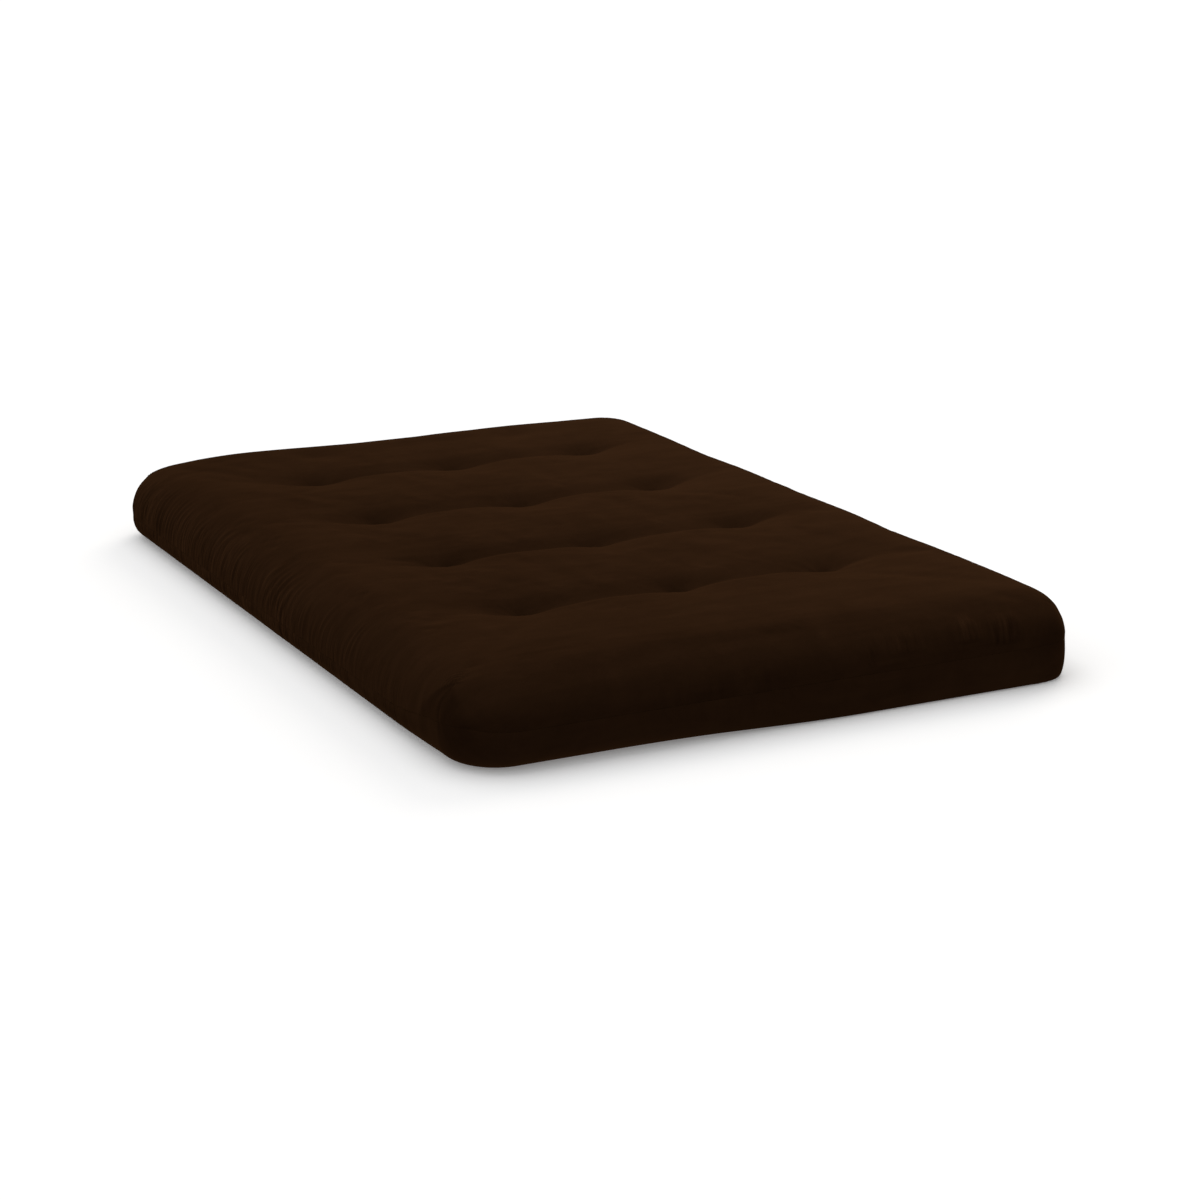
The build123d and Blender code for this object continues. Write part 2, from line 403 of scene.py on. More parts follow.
def loopStrip(a, b, flip):
    # faces between two loops, b with as many points as a or with a third of them
    nextA = np.roll(a, -1)
    if len(a) == len(b):
        faces = np.stack([a, nextA, np.roll(b, -1), b], -1)
        return [faces[:, ::-1] if flip else faces]
    nextB = np.roll(b, -1)
    a0, a1, a2, a3 = a[::3], a[1::3], a[2::3], np.roll(a[::3], -1)
    fan = np.concatenate([np.stack(t, -1) for t in ((a0, a1, b), (a2, a3, nextB))])
    wide = np.stack([a1, a2, nextB, b], -1)
    return [fan[:, ::-1] if flip else fan, wide[:, ::-1] if flip else wide]


def putMesh(name, points, faceGroups, cloth=None, shades=None):
    # points and groups of equal-sided faces into a smooth mesh; cloth is each point's place on the flat
    # cloth, and shades holds other values at each point that the finish reads
    mesh = bpy.data.meshes.new(name)
    corners = np.concatenate([g.reshape(-1) for g in faceGroups]).astype(np.int32)
    sizes = np.concatenate([np.full(len(g), g.shape[1]) for g in faceGroups]).astype(np.int32)
    starts = np.concatenate([[0], np.cumsum(sizes)[:-1]]).astype(np.int32)
    mesh.vertices.add(len(points))
    mesh.vertices.foreach_set("co", points.reshape(-1).astype(np.float32))
    mesh.loops.add(len(corners))
    mesh.loops.foreach_set("vertex_index", corners)
    mesh.polygons.add(len(sizes))
    mesh.polygons.foreach_set("loop_start", starts)
    mesh.polygons.foreach_set("loop_total", sizes)
    mesh.polygons.foreach_set("use_smooth", np.ones(len(sizes), bool))
    mesh.update(calc_edges=True)
    if cloth is not None:
        place = mesh.attributes.new("clothPlace", "FLOAT_VECTOR", "POINT")
        place.data.foreach_set("vector", cloth.reshape(-1).astype(np.float32))
    for key, values in (shades or {}).items():
        mesh.attributes.new(key, "FLOAT", "POINT").data.foreach_set("value", values.astype(np.float32))
    obj = bpy.data.objects.new(name, mesh)
    bpy.context.scene.collection.objects.link(obj)
    print(name, len(points), "points", int((sizes - 2).sum()), "triangles")
    return obj


def closedShell(name, outer, inner, rims, cloth, side, shades=None):
    # a wall of cloth or felt: its outer grid, loops of points round its rim, and an inner grid of the same
    # lines or of every third one
    blocks, clothBlocks = [outer.reshape(-1, 3)], [cloth.reshape(-1, 3)]
    index = np.arange(outer.shape[0] * outer.shape[1]).reshape(outer.shape[:2])
    last, total = borderLoop(index), index.size
    border = cloth.reshape(-1, 3)[last]
    groups = [gridQuads(index, side < 0)]
    for rim in rims:
        loop = np.arange(total, total + len(rim))
        groups += loopStrip(last, loop, side > 0)
        blocks.append(rim)
        clothBlocks.append(border)
        last, total = loop, total + len(rim)
    step = (outer.shape[0] - 1) // (inner.shape[0] - 1)
    innerIndex = total + np.arange(inner.shape[0] * inner.shape[1]).reshape(inner.shape[:2])
    groups += loopStrip(last, borderLoop(innerIndex), side > 0)
    groups.append(gridQuads(innerIndex, side > 0))
    blocks.append(inner.reshape(-1, 3))
    clothBlocks.append(cloth[::step, ::step].reshape(-1, 3))
    points = np.concatenate(blocks)
    rest = np.zeros(len(points) - outer[..., 0].size)
    shades = {key: np.concatenate([values.reshape(-1), rest]) for key, values in (shades or {}).items()}
    return putMesh(name, points, groups, np.concatenate(clothBlocks), shades)


# Cloth: both pans, coarse, are closed along the seam and blown up a little, and how far each point moved is
# carried to the fine pans

inflation = {
    "edgeLines": 9,
    "spacing": 0.0155,
    "pressure": 0.3,
    "frames": 20,
    "slack": -0.001,         # the cloth is cut this share larger than the stuffing
    "cap": 0.0080,
    "inward": 0.0015,        # the most that it may pull in
    "hold": 12,              # steps from free to held
    "heldUnder": 0.80,       # how firmly the lower pan is held above the floor, and the seam
    "heldSeam": 0.6,
    "quality": 5,
    "mass": 0.3,
}


def coarseLine(flat, reach):
    edge = np.linspace(0, 1, inflation["edgeLines"] + 1)
    middle = np.linspace(-flat, flat, int(round(2 * flat / inflation["spacing"])) + 1)
    return np.concatenate([-(flat + reach * edge[:0:-1]), middle, flat + reach * edge[1:]])


def heldShare(points, side):
    # 1 where the twine or the floor holds the cloth, less along a crease and at the seam
    x, y = points[..., 0], points[..., 1]
    if side < 0:
        return np.where(points[..., 2] < casePans["floorTouch"], 1.0, inflation["heldUnder"])
    crease = tuftField(x, y) / (fullHeight - tuftFloorTop)
    return np.clip(0.10 + 1.9 * crease, 0, 1)


def inflate():
    r0 = casePans["cornerRadius"]
    lines = {s: [coarseLine(h - r0, clothReach[s]) for h in (halfWidth, halfLength)] for s in (1, -1)}
    grids = {s: panSurface(*np.meshgrid(*lines[s], indexing="ij"), s)[0] for s in (1, -1)}
    shape = grids[1].shape[:2]
    top = np.arange(shape[0] * shape[1]).reshape(shape)
    bottom = np.full(shape, -1)
    bottom[1:-1, 1:-1] = top.size + np.arange((shape[0] - 2) * (shape[1] - 2)).reshape(shape[0] - 2, -1)
    inside = bottom >= 0
    bottom[~inside] = top[~inside]
    points = np.concatenate([grids[1].reshape(-1, 3), grids[-1][1:-1, 1:-1].reshape(-1, 3)])
    heldBelow = heldShare(grids[-1], -1)[1:-1, 1:-1]
    held = np.concatenate([heldShare(grids[1], 1).reshape(-1), heldBelow.reshape(-1)])
    held[borderLoop(top)] = inflation["heldSeam"]
    shell = putMesh("inflated_shell", points, [gridQuads(top, False), gridQuads(bottom, True)])
    group = shell.vertex_groups.new(name="held")
    levels = np.round(held * inflation["hold"]).astype(int)
    for level in range(inflation["hold"] + 1):
        group.add(np.nonzero(levels == level)[0].tolist(), level / inflation["hold"], "REPLACE")
    settings = shell.modifiers.new("cloth", "CLOTH").settings
    settings.quality = inflation["quality"]
    settings.mass = inflation["mass"]
    settings.use_pressure = True
    settings.uniform_pressure_force = inflation["pressure"]
    settings.shrink_min = inflation["slack"]
    settings.vertex_group_mass = "held"
    settings.pin_stiffness = 1.0
    settings.effector_weights.gravity = 0
    scene = bpy.context.scene
    for step in range(1, inflation["frames"] + 1):
        scene.frame_set(step)
    settled = shell.evaluated_get(bpy.context.evaluated_depsgraph_get())
    moved = np.empty(len(points) * 3, np.float32)
    settled.data.vertices.foreach_get("co", moved)
    moved = moved.reshape(-1, 3).astype(float) - points
    scene.frame_set(1)
    bpy.data.objects.remove(shell)
    size = np.linalg.norm(moved, axis=1, keepdims=True)
    most, mean = (float(value) * 1000 for value in (size.max(), size.mean()))
    print("cloth moved up to", round(most, 1), "mm, mean", round(mean, 2))
    moved *= np.tanh(size / inflation["cap"]) * inflation["cap"] / np.maximum(size, 1e-9)
    return lines, {1: moved[top], -1: moved[bottom]}


def cubicWeights(coarse, fine):
    # Catmull-Rom weights that carry values on coarse lines to fine ones, one row for each fine line
    at = np.interp(fine, coarse, np.arange(len(coarse)))
    base = np.clip(np.floor(at).astype(int), 0, len(coarse) - 2)
    t = at - base
    shares = (
        -0.5 * t + t ** 2 - 0.5 * t ** 3, 1 - 2.5 * t ** 2 + 1.5 * t ** 3,
        0.5 * t + 2 * t ** 2 - 1.5 * t ** 3, -0.5 * t ** 2 + 0.5 * t ** 3,
    )
    weights = np.zeros((len(fine), len(coarse)))
    for k, share in enumerate(shares):
        np.add.at(weights, (np.arange(len(fine)), np.clip(base + k - 1, 0, len(coarse) - 1)), share)
    return weights


puff = inflate()


def puffed(gxLine, gyLine, side):
    # how far the blown-up cloth moved, on a pan's own lines
    if puff is None:
        return np.zeros((len(gxLine), len(gyLine), 3))
    lines, moved = puff
    across, along = cubicWeights(lines[side][0], gxLine), cubicWeights(lines[side][1], gyLine)
    return np.einsum("ia,abk,jb->ijk", across, moved[side], along, optimize=True)


def besideEdge(where, gx, gy):
    # a named side of the flat case: whether it is the left or right, how far out past its line each point
    # is, and its place along
    sideways = where in ("left", "right")
    across, along = (gx, gy) if sideways else (gy, gx)
    sign = -1 if where in ("left", "near") else 1
    return sideways, across * sign - (halfWidth if sideways else halfLength), along


def gatherField(gx, gy, fromSeam, side):
    # ridges that run up from the seam, (1/2 + 1/2 cos phase)^p, whose phase leans and wanders with noise,
    # inside a zone's Gaussian along the side and a rise and fall up the cloth
    height = np.zeros_like(gx)
    climb = (0.3 + 0.7 * smoothStep(fromSeam / 0.020)) * (1 - smoothStep((fromSeam - 0.045) / 0.060))
    if side < 0:
        climb = (0.3 + 0.2 * smoothStep(fromSeam / 0.014)) * (1 - smoothStep((fromSeam - 0.030) / 0.045))
    for number, (where, centre, reach, rise, width, lean) in enumerate(gatherZones):
        past, along = besideEdge(where, gx, gy)[1:]
        here = smoothStep((past + 0.15) / 0.06) * climb
        seed = 100 + number * 7
        zone = np.exp(-np.abs((along - centre) / reach) ** 3)
        wander = 1.2 * layeredNoise(along / (width * 2.6), fromSeam / 0.14, seed, 2)
        phase = (along + lean * side * fromSeam) / width + wander
        ridge = (0.5 + 0.5 * np.cos(2 * np.pi * phase)) ** 1.7
        strand = latticeNoise(phase * 0.9 + 9, fromSeam / 0.055, seed + 3) ** 1.5
        fine = np.abs(layeredNoise(phase * 2.3, fromSeam / 0.07 + 4, seed + 5, 2))
        height += rise * zone * here * (ridge * (0.15 + 1.5 * strand) + 0.35 * fine)
    return height


def strandField(gx, gy, fromSeam, side):
    # where the finish draws fine strands: above 0 for those that run up the left and right sides, below 0
    # for those up the near and far ones
    mask = np.zeros_like(gx)
    for number, (where, centre, reach, strength, low, high) in enumerate(strandZones):
        sideways, past, along = besideEdge(where, gx, gy)
        here = smoothStep((past + 0.13) / 0.05)
        ragged = high * (1 + 0.35 * layeredNoise(along / 0.035, along * 0, 140 + number, 2))
        rise = smoothStep((fromSeam - low) / 0.012) if low > 0 else 1
        rise = rise * (1 - smoothStep((fromSeam - ragged * 0.6) / 0.03))
        if side < 0:
            rise = (low == 0) * (1 - smoothStep((fromSeam - 0.03) / 0.03)) * 0.8
        zone = strength * here * rise * np.exp(-np.abs((along - centre) / reach) ** 3)
        mask = mask + zone * (1 if sideways else -1)
    return np.clip(mask, -1, 1)


seamPull = {
    "draw": 0.0009,          # how far a tight seam draws the cloth in
    "drawReach": 0.0042,
    "pucker": 0.0012,
    "puckerReach": 0.016,
    "flush": 0.0017,         # how far the cloth stands out where the seam is slack
    "flushReach": 0.010,
    "double": 0.0016,        # a doubled fold over the seam, part way along the near side
}


def seamField(gx, gy, fromSeam):
    # the seam draws the cloth in, -d exp(-s/reach), with a pucker every stitch or so that dies out up the
    # side; where the seam is slack the cloth stands out flush instead
    p = seamPull
    onLeft = np.abs(gx) / halfWidth > np.abs(gy) / halfLength
    along = np.where(onLeft, gy, gx)
    pucker = layeredNoise(along / 0.011 + 40, np.sign(gx) * 3 + np.sign(gy) * 7, 57, 2)
    bunch = smoothStep(layeredNoise(along / 0.09 + 11, np.sign(gx) * 5, 61, 2) * 1.6 + 0.3)
    slackLeft = 0.5 + 0.5 * smoothStep((gy + 0.45) / 0.5)
    slackNear = 0.55 + 0.45 * smoothStep((gx - 0.18) / 0.14)
    slack = np.where(onLeft, slackLeft, slackNear)
    pull = np.exp(-fromSeam / p["drawReach"])
    fold = np.exp(-fromSeam / p["puckerReach"]) * smoothStep(fromSeam / 0.004)
    tight = 1 - slack
    double = np.exp(-((gx - 0.19) / 0.05) ** 4 - ((fromSeam - 0.014) / 0.0045) ** 2)
    double = double * (gy < -halfLength + 0.1)
    drawn = -p["draw"] * pull * (0.3 + 0.7 * bunch) * tight
    drawn = drawn + p["pucker"] * pucker * fold * (0.2 + 1.2 * bunch * tight)
    return drawn + p["flush"] * slack * np.exp(-fromSeam / p["flushReach"]) + p["double"] * double


def dartStrength(gx, gy):
    return np.where((gx < 0) & (gy < 0), 1.0, cornerDart["elsewhere"])


def dartPlace(gx, gy, side):
    # where a point of cloth lies against its corner's dart: how far up from the seam, and how far off to
    # the side of it
    r0, reach = casePans["cornerRadius"], clothReach[side]
    u, v = (np.abs(gx) - halfWidth + r0) / reach, (np.abs(gy) - halfLength + r0) / reach
    du, dv = squeezed(np.clip(u, 0, 1), np.clip(v, 0, 1))
    turn = np.where((gx < 0) & (gy < 0), cornerDart["turn"], np.pi / 4)
    off = (np.arctan2(dv, np.maximum(du, 1e-9)) - turn) * r0 * cornerDart["radiusShare"]
    off = off + np.minimum(v, 0) * reach - np.minimum(u, 0) * reach
    return (1 - np.hypot(du, dv)) * reach, off


def facetField(gx, gy, side, soft):
    # the flattened facet under a dart's point: it widens down to the seam, sharp towards the left side and
    # soft the other way
    d = cornerDart
    along, off = dartPlace(gx, gy, side)
    share = np.clip(1 - along / d["climb"], 0, 1) if side > 0 else 1
    wide = d["facetReach"] * (0.12 + 0.88 * share)
    left = smoothStep((off + wide) / (0.006 + soft * wide))
    right = 1 - smoothStep((off - wide * 0.45) / (wide * 0.75))
    below = smoothStep((d["climb"] - along) / 0.014) if side > 0 else 1 - 0.5 * smoothStep(along / 0.10)
    return left * right * below * dartStrength(gx, gy)


def dartField(gx, gy):
    # one dart in each corner of the top pan: a small point and pit where it ends, ripples over the point,
    # cos(2 pi r/w) exp(-r/reach), folds that fan out beside it, cos(n angle) exp(-r/reach), and a crimped
    # groove down to the seam
    d = cornerDart
    along, off = dartPlace(gx, gy, 1)
    corner = np.sign(gx) * 2 + np.sign(gy)
    up = along - d["climb"]
    far, angle = np.hypot(off, up), np.arctan2(off, up)
    wobble = layeredNoise(angle * 1.3 + corner * 3, far / 0.05, 71, 2)
    folds = np.cos(d["folds"] * angle + wobble * 2.5)
    folds = folds * np.exp(-far / d["foldReach"]) * smoothStep(far / 0.008)
    over = smoothStep((0.6 * up - 0.8 * off) / 0.010 + 0.5)
    ripples = np.cos(2 * np.pi * far / d["ripple"]) * np.exp(-far / d["rippleReach"]) * over
    pit = hill((off - 0.003) / d["pitReach"], (up + 0.003) / d["pitReach"])
    point = hill(far / d["pointReach"])
    crimp = 1 + 0.5 * layeredNoise(along / 0.008, corner, 73, 2)
    groove = hill(off / d["grooveWidth"]) * smoothStep(-up / 0.012)
    groove = groove * smoothStep(along / 0.012) * crimp
    height = d["pointHeight"] * point + d["foldHeight"] * folds + d["rippleHeight"] * ripples
    height = height - d["pit"] * pit
    return dartStrength(gx, gy) * (height - d["groove"] * groove)


wrinkle = {
    "ripple": 0.00055,
    "fine": 0.00025,
    "drawn": 0.0026,         # height of the lines that run out of a tuft
    "drawnReach": 0.045,
    "dent": 0.0020,
}


def wrinkleField(gx, gy):
    # fine slack on the top: faint ripples across the bed near the right edge, drawn lines that run out of
    # each tuft, noise(angle) exp(-r/reach), and a small dent in the left
    ripple = layeredNoise(gx / 0.16, gy / 0.013 + 0.25 * gx / 0.013, 81, 2)
    right = smoothStep((gx - 0.30) / 0.25)
    right = right * smoothStep(0.5 + 0.7 * layeredNoise(gx / 0.12, gy / 0.2, 83, 2))
    height = wrinkle["ripple"] * ripple * right
    height = height + wrinkle["fine"] * layeredNoise(gx / 0.05, gy / 0.02, 85, 3)
    for number, (tx, ty) in enumerate(tufts):
        far = np.hypot(gx - tx, gy - ty)
        angle = np.arctan2(gy - ty, gx - tx)
        lines = layeredNoise(2.4 * np.cos(angle) + 20, 2.4 * np.sin(angle) + number * 9, 87, 3)
        height += wrinkle["drawn"] * lines * np.exp(-far / wrinkle["drawnReach"]) * smoothStep(far / 0.014)
    dent = hill((gx + 0.40) / 0.030, (gy + 0.10) / 0.012)
    return height - wrinkle["dent"] * dent


def crossFold(piece, slot, *stems):
    # a piece that runs on across the fold, in place of a seat and a back node for each stem
    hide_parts(*[section + stem for stem in stems for section in ("seat_", "back_")])
    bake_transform(piece)
    return piece


# Painted light and shade on the case's colour, by place
paintedLightShade = {
    "farRight": 0.27,        # painted light, paler towards the far right of the top where the rear right light grazes it; nearLeft is painted shade towards the near left
    "nearLeft": -0.13,
    "facet": -0.23,          # painted shade on the facets under the darts, which face away from the light
    "lowerLeft": -0.55,      # painted shade on the lower pan's left side, which faces down away from the light, and painted light on the rest of that pan
    "low": 0.10,
    "aboveSeam": -0.12,      # painted shade on the left side, just over the seam
    "valley": -0.12,         # painted shade between the gathers, painted highlight on their crests
}


def paintedLightField(gx, gy, fromSeam, side):
    # painted light and shade on the case's colour: a slow ramp of painted light and shade over the bed,
    # painted shade in the folds of the gathers with painted highlight on their crests, on the corner
    # facets, just over the seam and in blotches low on the left, and painted light on the rest of the lower
    # pan
    n = paintedLightShade
    # painted shade in the folds of the gathers, painted highlight on their crests
    folds = gatherField(gx, gy, fromSeam, side) / 0.003
    tone = n["valley"] * smoothStep(folds * 3) * (0.55 - np.clip(folds, 0, 1.2))
    # painted shade on the corner facets
    tone = tone + n["facet"] * facetField(gx, gy, side, 0.12)
    if side > 0:
        # painted light towards the far right of the top, painted shade towards the near left
        over = 0.85 * gx / halfWidth + 0.22 * gy / halfLength
        ramp = n["farRight"] * smoothStep((over + 0.15) / 1.1)
        ramp = ramp + n["nearLeft"] * smoothStep((0.1 - over) / 0.8)
        # painted shade on the left side just over the seam
        onLeft = smoothStep((-gx - halfWidth + 0.10) / 0.05) * smoothStep((gy + 0.78) / 0.15)
        tone = tone + n["aboveSeam"] * onLeft * (1 - smoothStep(fromSeam / 0.055))
        return tone + ramp * smoothStep((fromSeam - 0.06) / 0.10)
    # painted shade in blotches low on the left of the lower pan, and painted light on the rest of that pan
    blotch = 0.70 + 0.8 * layeredNoise(gx / 0.05 + gy / 0.09, gy / 0.06, 91, 3)
    left = smoothStep((-gx - halfWidth + casePans["cornerRadius"] + 0.02) / 0.12)
    left = left * (0.25 + 0.75 * smoothStep((gy + 0.80) / 0.15))
    low = n["lowerLeft"] * left * blotch + n["low"] * (1 - left)
    return tone + low * (0.3 + 0.7 * smoothStep(fromSeam / 0.030))


def drapedPan(gxLine, gyLine, side):
    # the sewn pan after it is blown up, and with its corners flattened under their darts
    gx, gy = np.meshgrid(gxLine, gyLine, indexing="ij")
    points, fromSeam = panSurface(gx, gy, side)
    normal, moved = gridNormals(points, side), puffed(gxLine, gyLine, side)
    lift = (moved * normal).sum(-1, keepdims=True)
    limit = inflation["inward"]
    moved = moved + normal * np.where(lift < 0, limit * np.tanh(lift / limit) - lift, 0)
    moved = moved - normal * (1, 1, 0) * (cornerDart["facet"] * facetField(gx, gy, side, 0.5))[..., None]
    return gx, gy, fromSeam, points + moved


def casePan(side, name):
    p = casePans
    halves = [h - p["cornerRadius"] + clothReach[side] for h in (halfWidth, halfLength)]
    spacingX = p["middleSpacing"] if side > 0 else p["topSpacing"]
    spacingY = p["alongSpacing"] if side > 0 else p["middleSpacing"]
    gxLine = gridLine(halves[0], side, tufts[::tuftRows, 0], spacingX, cornerDart["placeX"])
    gyLine = gridLine(halves[1], side, tufts[:tuftRows, 1], spacingY, cornerDart["placeY"])
    gx, gy, fromSeam, points = drapedPan(gxLine, gyLine, side)
    raised = gatherField(gx, gy, fromSeam, side) + seamField(gx, gy, fromSeam)
    if side > 0:
        raised = raised + dartField(gx, gy) + wrinkleField(gx, gy)
    points = points + gridNormals(points, side) * raised[..., None]
    shades = {
        "napTone": paintedLightField(gx, gy, fromSeam, side),
        "strands": strandField(gx, gy, fromSeam, side),
    }
    border = borderLoop(np.arange(gx.size).reshape(gx.shape))
    flat = points.reshape(-1, 3)
    level = (panSurface(gx, gy, side)[0] + puffed(gxLine, gyLine, side))[..., 2]
    flat[border, 2] = level.reshape(-1)[border] + side * p["seamGap"]
    if side < 0:
        points[..., 2] = np.clip(points[..., 2], 0, None)
    inner = points - gridNormals(points, side) * p["cloth"]
    # the allowance turns in level along the seam, one cloth thick
    edge = flat[border]
    inward = np.zeros_like(edge)
    inward[:, :2] = (np.roll(edge, 1, 0) - np.roll(edge, -1, 0))[:, 1::-1] * (1, -1)
    inward *= np.sign((-edge * inward).sum(1, keepdims=True))
    inward /= np.linalg.norm(inward, axis=1, keepdims=True)
    rise = np.array([0, 0, side * p["cloth"]])
    turned = edge + inward * p["allowance"]
    rims = [turned, turned + rise, edge + inward * 2 * p["cloth"] + rise]
    inner = inner[::3, ::3].copy()
    innerBorder = borderLoop(np.arange(inner.shape[0] * inner.shape[1]).reshape(inner.shape[:2]))
    inner.reshape(-1, 3)[innerBorder] = (edge + inward * p["cloth"] + rise * p["innerLift"])[::3]
    cloth = np.stack([gx, gy, np.full_like(gx, side * 0.5)], -1)
    pan = closedShell(name, points, inner, rims, cloth, side, shades)
    return crossFold(pan, "microfibre", name)


pans = {name: casePan(side, name) for side, name in ((1, "case_top"), (-1, "case_bottom"))}
print("case sewn")

# Seam threads: a needle and a bobbin thread, lock-stitched through the two allowances

seamStitch = {
    "length": 0.0042,
    "inset": 0.0105,
    "radius": 0.00045,
    "climb": 0.0019,         # how far each thread stands over the seam plane
    "sides": 5,
    "steps": 6,              # points along one stitch
}


def roundedPath(inset, count):
    # a rounded rectangle walked at an even pace: four straights and four quarter arcs by arc length
    r = casePans["cornerRadius"] - inset
    a, b = halfWidth - casePans["cornerRadius"], halfLength - casePans["cornerRadius"]
    arc = math.pi * r / 2
    lengths = np.array([2 * b, arc, 2 * a, arc, 2 * b, arc, 2 * a, arc])
    ends = np.concatenate([[0], np.cumsum(lengths)])
    s = np.arange(count) / count * ends[-1]
    leg = np.clip(np.searchsorted(ends, s, side="right") - 1, 0, 7)
    t = s - ends[leg]
    quarter = leg // 2
    turn = np.where(leg % 2 == 1, t / r, 0)
    heading = (quarter + 1) * np.pi / 2 + turn
    # corner centres and straight starts, quarter by quarter, going anticlockwise from the near right
    startX = np.array([a + r, a, -a - r, -a])[quarter]
    startY = np.array([-b, b + r, b, -b - r])[quarter]
    centreX, centreY = np.array([a, -a, -a, a])[quarter], np.array([b, b, -b, -b])[quarter]
    onArc = leg % 2 == 1
    x = np.where(onArc, centreX + r * np.sin(heading), startX + t * np.cos(heading))
    y = np.where(onArc, centreY - r * np.cos(heading), startY + t * np.sin(heading))
    return x, y, heading, ends[-1]


def tubeRings(path, radius, sides, closed):
    # a ring of points round each point of a path, in the plane across its direction
    ahead = np.roll(path, -1, 0) - np.roll(path, 1, 0)
    if not closed:
        ahead[0], ahead[-1] = path[1] - path[0], path[-1] - path[-2]
    ahead /= np.linalg.norm(ahead, axis=1, keepdims=True)
    upward = np.where(np.abs(ahead[:, 2:]) > 0.9, np.array([[1.0, 0, 0]]), np.array([[0, 0, 1.0]]))
    across = np.cross(ahead, upward)
    across /= np.linalg.norm(across, axis=1, keepdims=True)
    over = np.cross(across, ahead)
    angle = np.arange(sides) / sides * 2 * np.pi
    ring = across[:, None] * np.cos(angle)[:, None] + over[:, None] * np.sin(angle)[:, None]
    return path[:, None] + radius * ring


def tubeFaces(first, length, sides, closed):
    # faces along a tube whose points start at first; an open tube gets a cap at each end
    index = first + np.arange(length * sides).reshape(length, sides)
    ring = index if not closed else np.concatenate([index, index[:1]])
    wrapped = np.concatenate([ring, ring[:, :1]], 1)
    quads = np.roll(gridQuads(wrapped, False), -1, 1)
    return [quads] if closed else [quads, index[:1], index[-1:, ::-1]]


def seamThreads():
    t = seamStitch
    count = int(round(roundedPath(t["inset"], 8)[3] / t["length"]))
    blocks, groups, first = [], [], 0
    for sign in (1, -1):
        x, y, heading = roundedPath(t["inset"], count * t["steps"])[:3]
        stitch = np.arange(count * t["steps"]) / t["steps"]
        # each stitch lies flat on its side of the cloth and dives through it at its end
        dive = np.abs(np.cos(np.pi * stitch)) ** 6
        outX, outY = x + t["inset"] * np.sin(heading), y - t["inset"] * np.cos(heading)
        further = casePans["cornerRadius"] * squaredOff(np.sin(heading), np.cos(heading), x, y)
        x, y = x + further * np.sin(heading), y - further * np.cos(heading)
        z = seamLevel(outX, outY) + sign * t["climb"] * (1 - 0.75 * dive)
        path = np.stack([x - drawnIn(x, y, seamHeight), y, z], -1)
        tube = tubeRings(path, t["radius"], t["sides"], True)
        blocks.append(tube.reshape(-1, 3))
        groups += tubeFaces(first, len(path), t["sides"], True)
        first += tube.shape[0] * tube.shape[1]
    return putMesh("case_seam", np.concatenate(blocks), groups)


seam = crossFold(seamThreads(), "sewing_thread", "case_seam")

# Stuffing: every ply is a closed solid nested under the case, drawn together at each tuft

stuffing = {
    "under": 0.0075,         # clear of the case's cloth, wrinkles and all
    "feltUnder": 0.0042,
    "feltSink": 0.0045,      # how much deeper the felt lies at a tuft
    "felt": 0.0040,
    "sinkReach": 0.016,
    "gap": 0.0010,
    "pad": 0.0235,
    "cottonIn": 0.004,       # how much further in the cotton and the pads stop than the form does
    "padIn": 0.002,
    "foamInset": 0.062,
    "fill": 0.6,
    "slabLines": (121, 169),
    "feltLines": (157, 217),
    "thinnest": 0.0020,
    "rough": 0.0011,
}

foamLow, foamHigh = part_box("back_foam_core")
middle = fullHeight / 2
outerSkin = stuffing["under"] + stuffing["felt"] + stuffing["gap"]


def shareSqueezed(level):
    # how much of the tufts' depth a ply face at this height takes: none in the middle, all at the outside
    return np.clip((level - middle) / (middle - outerSkin), -1, 1)


def dippedLevel(level, x, y):
    share = shareSqueezed(level)
    return level - (tuftField(x, y) * share if share > 0 else underField(x, y) * share)


def formHeight(x, y, fromEdge, skin, side):
    # height of the case's smooth outside less a skin: superellipse over the edge, quilting over the flat
    across, up, power = edgeShape(side)
    up = up - skin
    t = np.clip(1 - (fromEdge - skin) / across, 0, 1)
    lift = up * (1 - t ** power) ** (1 / power)
    z = seamHeight + side * lift
    level = lift / up
    if side > 0:
        return z + (crownField(x, y) * level ** 2 - tuftField(x, y)) * smoothStep((level - 0.45) / 0.55)
    return z + underField(x, y) * level ** 2


def planGrid(inset, lines):
    # a grid over the rounded rectangle at this inset, each square corner squeezed into a quarter disc
    r = casePans["cornerRadius"] - inset
    gx, gy = np.meshgrid(*[
        np.linspace(-(h - inset), h - inset, n) for h, n in zip((halfWidth, halfLength), lines)
    ], indexing="ij")
    x0, y0 = halfWidth - casePans["cornerRadius"], halfLength - casePans["cornerRadius"]
    du, dv = squeezed(np.clip((np.abs(gx) - x0) / r, 0, 1), np.clip((np.abs(gy) - y0) / r, 0, 1))
    x = np.sign(gx) * (np.minimum(np.abs(gx), x0) + r * du)
    y = np.sign(gy) * (np.minimum(np.abs(gy), y0) + r * dv)
    return x, y, inset + r * (1 - np.hypot(du, dv))


def insetAt(level, side):
    # how far in the smooth form stands at a height
    across, up, power = edgeShape(side)
    rise = np.clip(abs(level - seamHeight) / (up - outerSkin), 0, 1)
    return outerSkin + across * (1 - (1 - rise ** power) ** (1 / power))


